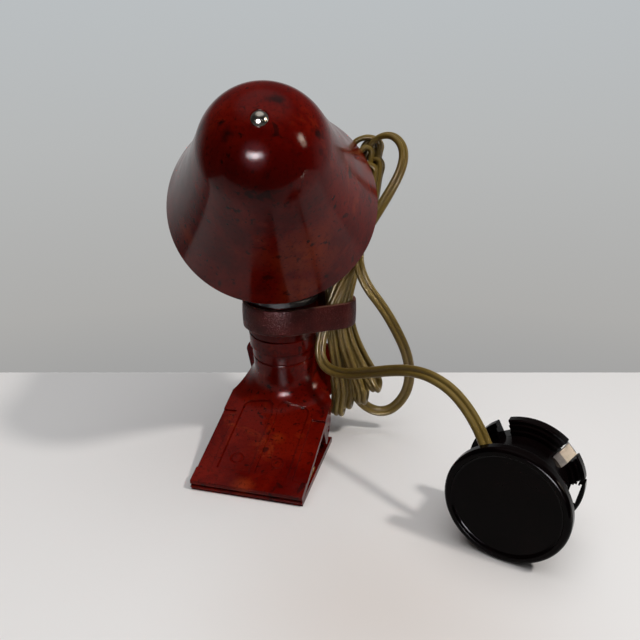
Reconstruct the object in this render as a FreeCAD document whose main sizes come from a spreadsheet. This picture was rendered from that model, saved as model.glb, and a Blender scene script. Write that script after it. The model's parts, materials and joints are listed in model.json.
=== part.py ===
"""Clip-on bakelite safelight lamp: a bell shade on a bulb clip, a lampholder in a hollow neck, a
spring clip of two jaws, a hank of twin flex held to the neck by a leather strap, and a round plug.

Frame: millimetres. The origin is the middle of the jaws' front edge, on the surface the lamp stands
on. +Z is up, +Y runs from the jaws' front edge to the hinge end, +X is to the right seen from the jaws.
"""
import FreeCAD, Part
import Sketcher
import math
import os
import re

Vector = FreeCAD.Vector
Rotation = FreeCAD.Rotation
Placement = FreeCAD.Placement

SIZES = {
    # front jaw: a sloping deck under the neck
    "jaw_width": 48, "lip_top": 4.6, "parting": 2.3, "deck_thick": 3.2, "deck_rise": 18.8,
    "corner_y": 50.3, "tail_y": 71, "tail_half": 12, "relief": 0.9, "rib": 2.4, "rib_offset": 16.6,
    "panel_start": 9, "panel_end": 47.2, "panel_corner": 2.8, "strip_start": 7.7, "strip_length": 33.5,
    "mark_along": 14.5, "mark_side": 8.8,
    # neck
    "neck_y": 56, "neck_radius": 14.7, "neck_foot": 17, "collar_radius": 15.6,
    "neck_top": 68, "bore_radius": 12.1, "bore_base": 46, "flare": 13, "neck_lean": 9,
    "lean_level": 50, "groove_below": 8, "collar_below": 2.5, "wire_bore": 6,
    # hinge
    "hinge_y": 44.3, "hinge_level": 10.6, "pin_radius": 1.5, "pin_play": 0.05, "ear_thick": 3.5,
    # rear jaw and its finger lever
    "leaf_end": 51.5, "leaf_thick": 2.6, "inner_ear": 20.2, "inner_ear_thick": 3.7, "arm_half": 15,
    "lever_top": 35.5, "lever_half": 28,
    # spring
    "wire": 1.0, "coil_radius": 2.6, "coil_x": 9.6,
    # bulb and lampholder
    "bulb_level": 114, "globe_radius": 22.5, "glass_wall": 0.8, "cap_radius": 7.2, "holder_top": 80,
    # bulb clip and shade
    "clip_wire": 1.8, "clip_play": 0.15, "strip": 1.0, "stirrup_half": 26.05, "rivet_radius": 1.0,
    "shade_turn": 15, "shade_tilt": 57, "axis_across": -3.6, "axis_up": -3.5, "rim_back": 1.0,
    "rim_radius": 44.5, "shade_height": 68, "dome_radius": 25, "shoulder_angle": 18,
    "skirt_bow": 344, "shade_wall": 2.5, "seat_level": 62, "screw_radius": 1.5,
    # strap
    "strap_base": 55, "strap_width": 12.6, "strap_thick": 1.8, "strap_play": 1.0,
    "strap_end_x": 22.6, "strap_end_y": 62.5, "strap_end_radius": 7.6,
    # cord
    "cord_diameter": 4.0, "bush_level": 51,
    # plug
    "plug_x": 99.2, "plug_y": -11.3, "plug_turn": 17.4, "plug_radius": 22, "plug_cap": 6,
    "waist_radius": 16.3, "flange_radius": 21.4, "flange_start": 22.4, "flange_step": 1.2,
    "plug_depth": 29, "prong_radius": 2.4, "prong_half": 9.5, "prong_line": 127,
}

# Route of the loose lead, from the hank under the strap to the plug's side.
LEAD_ROUTE = [
    (20.5, 54.5, 59.0), (18.6, 52.5, 51.5), (18.0, 51.0, 43.7), (22.0, 48.5, 38.2), (31.5, 45.0, 38.5),
    (43.0, 40.0, 43.0), (53.5, 34.5, 47.8), (61.5, 29.0, 51.0), (69.0, 24.0, 52.0), (77.0, 18.0, 50.6),
    (83.2, 12.0, 47.2), (88.0, 6.8, 42.6), (91.2, 3.0, 37.8), (93.2, 0.6, 34.6),
]
# Route of the loose loop that springs out of the hank's top and runs back into its foot.
LOOP_ROUTE = [
    (30.4, 87.6, 126.6), (32.6, 87.6, 132.8), (37.0, 86.8, 136.0), (42.2, 85.2, 136.4),
    (46.4, 83.0, 133.6), (48.4, 81.0, 128.6), (47.4, 79.2, 122.0), (44.0, 77.2, 113.8),
    (40.0, 73.0, 104.4), (36.2, 66.0, 95.4), (34.8, 60.0, 86.6), (38.2, 57.0, 76.4),
    (45.2, 58.8, 65.4), (51.0, 61.0, 54.6), (55.6, 63.0, 43.8), (57.4, 65.0, 33.6),
    (56.6, 66.6, 24.0), (53.2, 67.8, 16.2), (48.2, 68.3, 10.6), (42.0, 68.0, 9.4),
    (36.2, 66.8, 12.6), (32.2, 65.2, 18.4), (30.2, 63.8, 25.0),
]
# Route from the bush at the neck's back round into the hank.
TAIL_ROUTE = [
    (0.0, 76.0, 51.0), (0.0, 82.0, 51.2), (2.3, 88.2, 51.5), (7.2, 92.6, 51.9), (13.6, 94.0, 52.2),
    (19.9, 92.0, 52.4), (24.4, 87.1, 52.5), (26.3, 80.8, 52.6), (26.1, 74.2, 52.8), (24.5, 68.6, 53.2),
]
# Hank sections from its foot to its head: centre x, y, z and half widths across x and y.
HANK_SECTIONS = [
    (27.0, 62.0, 9.0, 6.0, 7.0), (29.6, 62.4, 24.0, 8.6, 8.0), (25.4, 62.2, 45.0, 7.2, 7.8),
    (22.8, 62.5, 62.0, 6.7, 7.2), (25.0, 67.0, 80.0, 7.0, 7.2), (29.2, 78.0, 107.0, 8.0, 7.0),
    (31.0, 87.4, 132.6, 7.5, 6.5),
]

doc = FreeCAD.newDocument("clip_safelight")
sheet = doc.addObject("Spreadsheet::Sheet", "sizes")
for row, (alias, number) in enumerate(SIZES.items(), 1):
    sheet.set("A%d" % row, alias)
    sheet.set("B%d" % row, str(number))
    sheet.setAlias("B%d" % row, alias)
doc.recompute()

nodes = []


# ---------------------------------------------------------------- helpers

def linked(text):
    """The expression with each bare size name pointed at the sheet."""
    return re.sub(r"\b[a-z]\w*\b(?!\()", lambda found: "sizes." + found.group(0), str(text))


def value(text):
    return float(sheet.evalExpression(linked(text)))


def bind(thing, **properties):
    """Bind properties to expressions; a double underscore in a name stands for a dot."""
    for name, text in properties.items():
        thing.setExpression(name.replace("__", "."), linked(text))
    return thing


def node(thing, label):
    thing.Label = label
    nodes.append(thing)
    return thing


def origin_plane(body, role):
    return next(plane for plane in body.Origin.OriginFeatures if plane.Role == role)


def outline(body, plane, steps, offset="0"):
    """A closed sketch on one of the body's own planes. A step (across, up) ends a straight side, and
    (across, up, radius) ends an arc, anticlockwise for a positive radius. The first step starts it."""
    sketch = body.newObject("Sketcher::SketchObject", body.Name + "_outline")
    sketch.AttachmentSupport = [(origin_plane(body, plane), "")]
    sketch.MapMode = "FlatFace"
    sketch.setExpression("AttachmentOffset.Base.z", linked(offset))
    corners = [Vector(value(step[0]), value(step[1]), 0) for step in steps]
    starts = []
    for index, corner in enumerate(corners):
        after = (index + 1) % len(steps)
        arrival = steps[after]
        if len(arrival) == 3:
            starts.append(add_arc(sketch, corner, corners[after], arrival[2]))
        else:
            sketch.addGeometry(Part.LineSegment(corner, corners[after]), False)
            starts.append(1)
    for index in range(len(steps)):
        after = (index + 1) % len(steps)
        sketch.addConstraint(
            Sketcher.Constraint("Coincident", index, 3 - starts[index], after, starts[after]))
    for index, step in enumerate(steps):
        place_corner(sketch, index, starts[index], step)
    return sketch


def add_arc(sketch, begin, end, radius_text):
    """Add an arc from begin to end; returns which end of the arc the path starts at."""
    radius = value(radius_text)
    chord = end - begin
    reach = math.sqrt(max(radius * radius - chord.Length ** 2 / 4, 0))
    left = Vector(-chord.y, chord.x, 0).normalize()
    centre = (begin + end) * 0.5 + left * (reach if radius > 0 else -reach)
    first, last = (begin, end) if radius > 0 else (end, begin)
    angles = [math.atan2(point.y - centre.y, point.x - centre.x) for point in (first, last)]
    if angles[1] < angles[0]:
        angles[1] += 2 * math.pi
    circle = Part.Circle(centre, Vector(0, 0, 1), abs(radius))
    index = sketch.addGeometry(Part.ArcOfCircle(circle, angles[0], angles[1]), False)
    if reach > 0.01:
        constraint = sketch.addConstraint(Sketcher.Constraint("Radius", index, abs(radius)))
        sketch.setExpression("Constraints[%d]" % constraint, linked("abs(%s)" % radius_text))
    else:
        sketch.addConstraint(Sketcher.Constraint("Block", index))
    return 1 if radius > 0 else 2


def place_corner(sketch, index, end, step):
    """Fix one corner at its two coordinates, each bound to its expression."""
    for kind, text in zip(("DistanceX", "DistanceY"), step):
        number = value(text)
        constraint = sketch.addConstraint(Sketcher.Constraint(kind, -1, 1, index, end, number))
        if abs(number) > 1e-9:
            sketch.setExpression("Constraints[%d]" % constraint, linked(text))


def turned(name, steps):
    """A body of revolution about Z; steps are (radius, height)."""
    body = doc.addObject("PartDesign::Body", name)
    sketch = outline(body, "XZ_Plane", steps)
    feature = body.newObject("PartDesign::Revolution", name + "_turn")
    feature.Profile = sketch
    feature.ReferenceAxis = (sketch, ["V_Axis"])
    feature.Angle = 360
    return body


def padded(name, plane, steps, length, offset="0", symmetric=True):
    """A body padded from an outline, both ways from its plane when symmetric."""
    body = doc.addObject("PartDesign::Body", name)
    feature = body.newObject("PartDesign::Pad", name + "_pad")
    feature.Profile = outline(body, plane, steps, offset)
    if symmetric:
        feature.SideType = "Symmetric"
    bind(feature, Length=length)
    body.Tip = feature
    return body


def box(name, length, width, height, x="0", y="0", z="0"):
    """A box; x, y and z are its lowest corner."""
    thing = doc.addObject("Part::Box", name)
    return bind(thing, Length=length, Width=width, Height=height,
                Placement__Base__x=x, Placement__Base__y=y, Placement__Base__z=z)


def cylinder(name, radius, height, x="0", y="0", z="0", axis="z"):
    """A cylinder that starts at x, y, z and runs along +axis."""
    thing = doc.addObject("Part::Cylinder", name)
    turns = {"x": (Vector(0, 1, 0), 90), "y": (Vector(1, 0, 0), -90), "z": (Vector(0, 0, 1), 0)}
    thing.Placement = Placement(Vector(), Rotation(*turns[axis]))
    return bind(thing, Radius=radius, Height=height,
                Placement__Base__x=x, Placement__Base__y=y, Placement__Base__z=z)


def combine(kind, name, base, *tools):
    """Cut, fuse or intersect base with each tool in turn."""
    for number, tool in enumerate(tools):
        step = doc.addObject("Part::" + kind, name if number == len(tools) - 1 else
                             "%s_step%d" % (name, number))
        step.Refine = False
        step.Base = base
        step.Tool = tool
        base = step
    return base


def shaped(name, shape, placement=Placement()):
    """A feature with a ready shape, for forms that no parametric feature makes."""
    thing = doc.addObject("Part::Feature", name)
    thing.Shape = shape
    thing.Placement = placement
    return thing


# ---------------------------------------------------------------- front jaw with neck

SLOPE = "tan(deck_rise)"


def leaning(thing, along):
    """Puts thing on the neck's leaning axis, its base at `along` from where the lean starts."""
    turn = Rotation(Vector(1, 0, 0), value("neck_lean"))
    base = Vector(0, value("neck_y"), value("lean_level")) + turn.multVec(Vector(0, 0, value(along)))
    thing.setExpression("Placement.Base.x", None)
    thing.setExpression("Placement.Base.y", None)
    thing.setExpression("Placement.Base.z", None)
    thing.Placement = Placement(base, turn)
    return thing


def flared_deck(name, sink):
    """The sloping deck and the neck's post, blended by a round flare, all set in by `sink`."""
    top = "lip_top - %s" % sink
    under = "lip_top - deck_thick"
    deck = padded(name + "_deck", "YZ_Plane", [
        ("0", top), ("0", "parting + 0.75"), ("0.9", "parting + 0.05"), ("3", "parting + 0.05"),
        ("6", under + " + 6 * " + SLOPE), ("100", under + " + 100 * " + SLOPE),
        ("100", top + " + 100 * " + SLOPE)], "120")
    post = leaning(cylinder(name + "_post", "neck_radius - %s" % sink, "lean_level - neck_foot"),
                   "neck_foot - lean_level + 2")
    joined = combine("Fuse", name + "_joined", deck, post)
    doc.recompute()
    edge = flare_edge(joined.Shape, value("neck_radius") - sink)
    return shaped(name, joined.Shape.makeFillet(value("flare") + sink, [edge]))


def flare_edge(shape, radius):
    """The closed edge where the post leaves the deck's upper face."""
    found = []
    for edge in shape.Edges:
        bounds = edge.BoundBox
        round_the_post = abs(bounds.XLength - 2 * radius) < 0.5 and len(edge.Vertexes) == 1
        if round_the_post and bounds.ZMax < value("bore_base"):
            found.append(edge)
    return max(found, key=lambda edge: edge.BoundBox.ZMax)


def panel(name, side):
    """Prism over one of the deck's two long panels, square to the deck."""
    inner = "%d * rib / 2" % side
    outer = "%d * (rib_offset - rib / 2)" % side
    low, high = (inner, outer) if side > 0 else (outer, inner)
    body = padded(name, "XY_Plane", [
        (low, "panel_start"), (high, "panel_start"), (high, "panel_end - panel_corner"),
        (high + " - panel_corner", "panel_end", "panel_corner"),
        (low + " + panel_corner", "panel_end"),
        (low, "panel_end - panel_corner", "panel_corner")], "40", symmetric=False)
    body.Placement = Placement(Vector(0, 0, value("lip_top - 2")),
                               Rotation(Vector(1, 0, 0), value("deck_rise")))
    return body


def side_strip(name, side):
    """Prism over the sunk strip outside an outer rib."""
    body = doc.addObject("Part::Box", name)
    bind(body, Length="10", Width="strip_length", Height="12")
    left = value("rib_offset + rib / 2") if side > 0 else -value("rib_offset + rib / 2") - 10
    turn = Rotation(Vector(1, 0, 0), value("deck_rise"))
    base = Vector(left, 0, value("lip_top - 2")) + turn.multVec(Vector(0, value("strip_start"), 0))
    body.Placement = Placement(base, turn)
    return body


def ring_mark(name, side):
    """Torus that presses one round mark into a panel."""
    ring = doc.addObject("Part::Torus", name)
    bind(ring, Radius1="2.5", Radius2="0.4")
    level = "lip_top - relief + mark_along * " + SLOPE
    ring.Placement = Placement(
        Vector(side * value("mark_side"), value("mark_along"), value(level)),
        Rotation(Vector(1, 0, 0), value("deck_rise")))
    return ring


def front_jaw():
    outer = flared_deck("deck_outer", 0)
    inner = flared_deck("deck_inner", value("relief"))
    sunk_areas = combine("Fuse", "sunk_areas", panel("panel_left", -1), panel("panel_right", 1),
                         side_strip("strip_left", -1), side_strip("strip_right", 1))
    sinks = combine("Cut", "sinks", sunk_areas, inner)
    footprint = padded("footprint", "XY_Plane", [
        ("-jaw_width / 2", "0"), ("jaw_width / 2", "0"), ("jaw_width / 2", "corner_y"),
        ("tail_half", "tail_y"), ("-tail_half", "tail_y"), ("-jaw_width / 2", "corner_y")],
        "100", symmetric=False)
    plate = combine("Common", "deck_plate", outer, footprint)
    collar = leaning(cylinder("collar", "collar_radius", "collar_below + 4"), "-collar_below")
    socket = cylinder("socket", "collar_radius", "neck_top - lean_level - 2", y="neck_y",
                      z="lean_level + 2")
    ears = combine("Cut", "outer_ears", padded("ear_block", "YZ_Plane", [
        ("35.5", "14.6"), ("39.6", "6"), ("43.2", "5.8", "2"), ("48.4", "11.4"), ("49.4", "19.6")],
        "jaw_width"), box("ear_gap", "jaw_width - 2 * ear_thick", "30", "40",
                          x="ear_thick - jaw_width / 2", y="30"))
    groove = doc.addObject("Part::Torus", "neck_groove_ring")
    bind(groove, Radius1="neck_radius + 0.1", Radius2="0.55")
    leaning(groove, "-groove_below")
    tools = [
        sinks, groove, ring_mark("mark_left", -1), ring_mark("mark_right", 1),
        cylinder("neck_bore", "bore_radius", "80", y="neck_y", z="bore_base"),
        cylinder("wire_hole", "wire_bore", "80", y="neck_y + 2", z="neck_foot - 8"),
        cylinder("pin_hole", "pin_radius", "60", x="-30", y="hinge_y", z="hinge_level", axis="x"),
        cylinder("bush_hole", "3.6", "12", y="neck_y + 8", z="bush_level", axis="y"),
    ]
    whole = combine("Fuse", "jaw_whole", plate, collar, socket, ears)
    node(combine("Cut", "jaw_cut", whole, *tools), "front_jaw")


# ---------------------------------------------------------------- rear jaw

def rear_jaw():
    leaf = padded("leaf", "YZ_Plane", [
        ("0.7", "0"), ("leaf_end - 0.8", "0"), ("leaf_end", "0.8"), ("leaf_end", "leaf_thick - 0.6"),
        ("leaf_end - 0.6", "leaf_thick"), ("7", "leaf_thick"), ("5.5", "parting"), ("0.9", "parting"),
        ("0", "parting - 0.6"), ("0", "1.2"), ("0.7", "0.8")], "jaw_width")
    ears = combine("Cut", "inner_ears", padded("inner_ear_block", "YZ_Plane", [
        ("37", "2"), ("51", "2"), ("hinge_y + 3.6", "hinge_level"), ("hinge_y - 3.6", "hinge_level", "3.6")],
        "2 * inner_ear"), box("inner_ear_gap", "2 * (inner_ear - inner_ear_thick)", "30", "40",
                              x="inner_ear_thick - inner_ear", y="30", z="leaf_thick"))
    arm = padded("arm", "YZ_Plane", [
        ("47", "0"), ("67", "0"), ("77.6", "8.6", "11"), ("84.6", "lever_top - 1"),
        ("82", "lever_top", "1.4"), ("74.8", "9.4"), ("66.5", "3", "-8"), ("47", "3")],
        "2 * lever_half")
    front = padded("lever_front", "XZ_Plane", [
        ("-arm_half", "0"), ("arm_half", "0"), ("arm_half", "9"), ("lever_half - 4", "18"),
        ("lever_half", "30"), ("lever_half - 6", "lever_top", "6"), ("6 - lever_half", "lever_top"),
        ("-lever_half", "30", "6"), ("4 - lever_half", "18"), ("-arm_half", "9")],
        "300")
    lever = combine("Common", "lever", arm, front)
    whole = combine("Fuse", "rear_whole", leaf, ears, lever)
    hole = cylinder("rear_pin_hole", "pin_radius + pin_play", "60", x="-30", y="hinge_y",
                    z="hinge_level", axis="x")
    node(combine("Cut", "rear_cut", whole, hole), "rear_jaw")


# ---------------------------------------------------------------- hinge pin, spring, jaw linings

def wire_form(label, edges, begin, heading):
    """Round wire swept along edges that run on from `begin`."""
    section = Part.Wire(Part.makeCircle(value("wire / 2"), begin, heading))
    return shaped(label + "_wire", Part.Wire(edges).makePipeShell([section], True, False))


def hinge_pin():
    node(cylinder("pin", "pin_radius", "jaw_width - 0.8", x="0.4 - jaw_width / 2", y="hinge_y",
                  z="hinge_level", axis="x"), "hinge_pin")


def spring():
    """The coil with the leg that lies under the deck."""
    coil = value("coil_radius")
    pitch = value("wire * 1.15")
    leg_rise = 13.5
    leg_length = 13.2
    turns = 4
    placement = Placement(Vector(value("coil_x"), value("hinge_y"), value("hinge_level")),
                          Rotation(Vector(0, 1, 0), 90).multiply(
                              Rotation(Vector(0, 0, 1), 180 + leg_rise)))
    helix = Part.makeHelix(pitch, pitch * turns, coil)
    helix.Placement = placement
    heading = placement.Rotation.multVec(Vector(0, coil, pitch / (2 * math.pi))).normalize()
    start = placement.multVec(Vector(coil, 0, 0))
    begin = start - heading * leg_length
    edges = [Part.LineSegment(begin, start).toShape()] + helix.Edges
    node(wire_form("spring", edges, begin, heading), "jaw_spring")


def spring_leg():
    """The last turn beside the coil, with the leg that lies on the finger lever's arm."""
    coil = value("coil_radius")
    leg_fall = 25
    leg_length = 11
    centre = Vector(value("coil_x - 1.4 * wire"), value("hinge_y"), value("hinge_level"))

    def on_turn(angle):
        radians = math.radians(angle)
        return centre + Vector(0, math.cos(radians), math.sin(radians)) * coil

    last = 270 - leg_fall
    arc = Part.Arc(on_turn(last - 300), on_turn(last - 150), on_turn(last)).toShape()
    radians = math.radians(leg_fall)
    leg = Vector(0, math.cos(radians), -math.sin(radians)) * leg_length
    line = Part.LineSegment(on_turn(last), on_turn(last) + leg).toShape()
    first = math.radians(last - 300)
    heading = Vector(0, -math.sin(first), math.cos(first))
    node(wire_form("spring_leg", [arc, line], on_turn(last - 300), heading), "jaw_spring_leg")


def jaw_linings():
    node(box("rear_lining_box", "jaw_width - 2", "13", "0.8", x="1 - jaw_width / 2", y="11",
             z="leaf_thick"), "rear_jaw_lining")
    lining = doc.addObject("Part::Box", "front_lining_box")
    bind(lining, Length="jaw_width - 2", Width="13", Height="0.8")
    turn = Rotation(Vector(1, 0, 0), value("deck_rise"))
    start = Vector(1 - value("jaw_width") / 2, 13, value("lip_top - deck_thick + 13 * " + SLOPE))
    lining.Placement = Placement(start - turn.multVec(Vector(0, 0, 0.8)), turn)
    node(lining, "front_jaw_lining")


# ---------------------------------------------------------------- lampholder and bulb

def dome_arc(half_width, rise):
    """Radius of the arc that crowns a head and meets its axis squarely."""
    return "(%g^2 + %g^2) / (2 * %g)" % (half_width, rise, rise)


def upright(thing):
    """Stand a turned piece on the neck's axis."""
    bind(thing, Placement__Base__y="neck_y")
    return thing


def lampholder():
    node(upright(turned("shell", [
        ("9.4", "57"), ("bore_radius - 0.05", "57"), ("bore_radius - 0.05", "neck_top"),
        ("collar_radius", "neck_top"), ("collar_radius", "neck_top + 2"), ("14.4", "neck_top + 3", "1.4"),
        ("14.4", "holder_top - 1.6"), ("12.8", "holder_top", "1.6"), ("9.4", "holder_top")])),
        "lampholder_shell")
    node(upright(turned("insulator", [
        ("0", "52"), ("11.6", "52"), ("11.6", "57"), ("0", "57")])), "lampholder_insulator")
    node(upright(turned("sleeve", [
        ("8.5", "57"), ("9.35", "57"), ("9.35", "holder_top - 1"), ("8.5", "holder_top - 1")])),
        "lampholder_sleeve")
    node(upright(turned("contact", [
        ("0", "57"), ("3.4", "57"), ("3.4", "57.5"), ("1.6", "58.4", "4"), ("0", "58.4")])),
        "lampholder_contact")


def bulb():
    thread_turns = 5
    thread_pitch = 2.8
    cap_steps = [("0", "60.5"), ("4.6", "60.5"), ("6.6", "62.5", "3")]
    for turn in range(thread_turns):
        height = 63.2 + turn * thread_pitch
        cap_steps.append(("6.6", "%g" % height))
        cap_steps.append(("cap_radius", "%g" % (height + thread_pitch * 0.35)))
        cap_steps.append(("cap_radius", "%g" % (height + thread_pitch * 0.5)))
        cap_steps.append(("6.6", "%g" % (height + thread_pitch * 0.85)))
    cap_steps += [("6.6", "81"), ("cap_radius", "82"), ("cap_radius", "83"), ("0", "83")]
    node(upright(turned("cap", cap_steps)), "bulb_cap")
    node(upright(turned("tip", [
        ("0", "58.5"), ("1.8", "58.5"), ("2.6", "59.3", "0.9"), ("2.6", "60.5"), ("0", "60.5")])),
        "bulb_tip")
    meet = 50
    inner = "globe_radius - glass_wall"
    node(upright(turned("glass", [
        ("6.2", "83"), ("7", "83"), ("7", "86"),
        ("globe_radius * cos(%d)" % meet, "bulb_level - globe_radius * sin(%d)" % meet, "-20"),
        ("0", "bulb_level + globe_radius", "globe_radius"),
        ("0", "bulb_level + %s" % inner),
        ("(%s) * cos(%d)" % (inner, meet), "bulb_level - (%s) * sin(%d)" % (inner, meet),
         "-(%s)" % inner),
        ("6.2", "86", "20")])), "bulb_glass")


# ---------------------------------------------------------------- bulb clip, stirrup and shade

def pivot():
    return Vector(0, value("neck_y"), value("bulb_level"))


def clip_placement():
    return Placement(pivot(), Rotation(Vector(0, 0, 1), value("shade_turn")))


def shade_rotation():
    return Rotation(value("shade_turn"), 0, value("shade_tilt"))


def shade_placement():
    """Frame of the shade's own axis, with its origin in the rim's plane."""
    offset = Vector(value("axis_across"), value("axis_up"), -value("rim_back"))
    return Placement(pivot() + shade_rotation().multVec(offset), shade_rotation())


CLIP_RING = "globe_radius + clip_play + clip_wire / 2"


def bulb_clip():
    ring = doc.addObject("Part::Torus", "clip_ring")
    bind(ring, Radius1=CLIP_RING, Radius2="clip_wire / 2")
    parts = []
    for number, side in enumerate((-1, 1)):
        finger = doc.addObject("Part::Torus", "clip_finger%d" % number)
        bind(finger, Radius1=CLIP_RING, Radius2="clip_wire / 2", Angle3="50")
        finger.Placement = Placement(Vector(), Rotation(Vector(0, 1, 0), -90).multiply(
            Rotation(Vector(0, 0, 1), 90 if side > 0 else 220)))
        parts.append(finger)
        start = "globe_radius + 0.3" if side > 0 else "-globe_radius - 2.45"
        parts.append(cylinder("clip_boss%d" % number, "2.3", "2.15", x=start, axis="x"))
    whole = combine("Fuse", "clip_whole", ring, *parts)
    bores = [cylinder("clip_bore0", "rivet_radius", "5", x="globe_radius", axis="x"),
             cylinder("clip_bore1", "rivet_radius", "5", x="-globe_radius - 5", axis="x")]
    clip = combine("Cut", "clip_cut", whole, *bores)
    clip.Placement = clip_placement()
    node(clip, "bulb_clip")


def clip_rivets():
    """Two pivot rivets, riveted into the clip's bosses; the stirrup turns on them."""
    for side, label in ((1, "clip_rivet_right"), (-1, "clip_rivet_left")):
        rivet = turned("rivet%d" % (side + 1), [
            ("0", "globe_radius + 0.35"), ("rivet_radius", "globe_radius + 0.35"),
            ("rivet_radius", "stirrup_half + 0.05"), ("2", "stirrup_half + 0.05"),
            ("0", "stirrup_half + 0.85", dome_arc(2, 0.8))])
        rivet.Placement = clip_placement().multiply(
            Placement(Vector(), Rotation(Vector(0, 1, 0), 90 * side)))
        node(rivet, label)


def stirrup():
    """U of spring strip: its arms hang on the rivets, its back is screwed under the dome."""
    plate_right = "axis_across + 9.6"
    plate_left = "axis_across - 9.6"
    crown = "seat_level - rim_back"
    strip = padded("stirrup_strip", "XZ_Plane", [
        ("stirrup_half", "-4"), ("stirrup_half", "14"), (plate_right, crown), (plate_left, crown),
        ("-stirrup_half", "14"), ("-stirrup_half", "-4"), ("strip - stirrup_half", "-4"),
        ("strip - stirrup_half", "14 - strip / 4"), (plate_left + " + strip * 0.7", crown + " - strip"),
        (plate_right + " - strip * 0.7", crown + " - strip"),
        ("stirrup_half - strip", "14 - strip / 4"), ("stirrup_half - strip", "-4")], "10", offset="2")
    cut = combine("Cut", "stirrup_cut", strip,
                  cylinder("stirrup_bore", "rivet_radius + pin_play", "80", x="-40", axis="x"),
                  cylinder("stirrup_screw_hole", "screw_radius + 0.1", "10", x="axis_across",
                           y="axis_up", z="seat_level - 8"))
    cut.Placement = Placement(pivot(), shade_rotation())
    node(cut, "shade_stirrup")


def shade():
    centre = "(shade_height - dome_radius)"
    inner = "(dome_radius - shade_wall)"
    head = "3.2"
    body = turned("bell", [
        ("screw_radius + 0.05", "seat_level"),
        ("sqrt(%s^2 - (seat_level - %s)^2)" % (inner, centre), "seat_level"),
        ("%s * cos(shoulder_angle)" % inner, "%s + %s * sin(shoulder_angle)" % (centre, inner),
         "-" + inner),
        ("rim_radius - 2.7", "0.8", "skirt_bow + shade_wall"),
        ("rim_radius - 2", "0", "0.9"), ("rim_radius - 0.8", "0"), ("rim_radius", "0.8", "0.8"),
        ("dome_radius * cos(shoulder_angle)", "%s + dome_radius * sin(shoulder_angle)" % centre,
         "-skirt_bow"),
        (head, "%s + sqrt(dome_radius^2 - %s^2)" % (centre, head), "dome_radius"),
        (head, "shade_height - 0.4"), ("screw_radius + 0.05", "shade_height - 0.4")])
    body.Placement = shade_placement()
    node(body, "shade")
    screw = turned("apex_screw", [
        ("0", "57.6"), ("screw_radius - 0.4", "57.6"), ("screw_radius", "58"),
        ("screw_radius", "shade_height - 0.4"), ("2.9", "shade_height - 0.4"),
        ("2.9", "shade_height"), ("0", "shade_height + 1.5", dome_arc(2.9, 1.5))])
    screw.Placement = shade_placement()
    node(screw, "shade_screw")
    nut = doc.addObject("Part::Prism", "apex_nut")
    nut.Polygon = 6
    bind(nut, Circumradius="3.1", Height="2.3")
    nut.Placement = Placement(Vector(0, 0, value("seat_level - strip") - 2.3), Rotation())
    bored = combine("Cut", "apex_nut_bored", nut,
                    cylinder("apex_nut_bore", "screw_radius", "10", z="seat_level - 8"))
    bored.Placement = shade_placement()
    node(bored, "shade_nut")


# ---------------------------------------------------------------- strap, stud and bush

def belt_corners(around, extra):
    """Where a belt round two circles leaves and meets them: the back run, then the front run."""
    (x1, y1, r1), (x2, y2, r2) = [(x, y, r + extra) for x, y, r in around]
    heading = math.atan2(y2 - y1, x2 - x1)
    lean = math.acos((r1 - r2) / math.hypot(x2 - x1, y2 - y1))

    def on_circle(x, y, radius, angle):
        return Vector(x + radius * math.cos(angle), y + radius * math.sin(angle), 0)

    back = [on_circle(x1, y1, r1, heading + lean), on_circle(x2, y2, r2, heading + lean)]
    front = [on_circle(x1, y1, r1, heading - lean), on_circle(x2, y2, r2, heading - lean)]
    ends = [on_circle(x1, y1, r1, heading + math.pi), on_circle(x2, y2, r2, heading)]
    return back, front, ends


def belt(around, extra, height):
    """Prism inside a belt round two circles; extra widens it evenly."""
    back, front, ends = belt_corners(around, extra)
    wire = Part.Wire([
        Part.makeLine(front[0], front[1]), Part.Arc(front[1], ends[1], back[1]).toShape(),
        Part.makeLine(back[1], back[0]), Part.Arc(back[0], ends[0], front[0]).toShape()])
    return Part.Face(wire).extrude(Vector(0, 0, height))


def strap():
    around = [(0, value("neck_y"), value("collar_radius + strap_play")),
              (value("strap_end_x"), value("strap_end_y"), value("strap_end_radius"))]
    width = value("strap_width")
    thick = value("strap_thick")
    band = belt(around, thick, width).cut(belt(around, 0, width))
    node(shaped("strap_band", band, Placement(Vector(0, 0, value("strap_base")), Rotation())), "strap")
    stud = turned("stud", [
        ("0", "0"), ("4.6", "0"), ("4.6", "0.5"), ("0", "1.8", dome_arc(4.6, 1.3))])
    back = belt_corners(around, thick)[0]
    outward = (back[1] - back[0]).cross(Vector(0, 0, -1))
    middle = (back[0] + back[1]) * 0.5 + Vector(0, 0, value("strap_base + strap_width / 2"))
    stud.Placement = Placement(middle, Rotation(Vector(0, 0, 1), outward))
    node(stud, "strap_stud")


def cord_bush():
    bush = turned("bush", [
        ("0", "67.8"), ("3.55", "67.8"), ("3.55", "71.8"), ("3.9", "71.8"), ("3.9", "73.2"),
        ("3.4", "73.8"), ("3", "76"), ("0", "76")])
    bush.Placement = Placement(Vector(0, 0, 0), Rotation(Vector(1, 0, 0), -90))
    bind(bush, Placement__Base__z="bush_level")
    node(bush, "cord_bush")


# ---------------------------------------------------------------- cord

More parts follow.
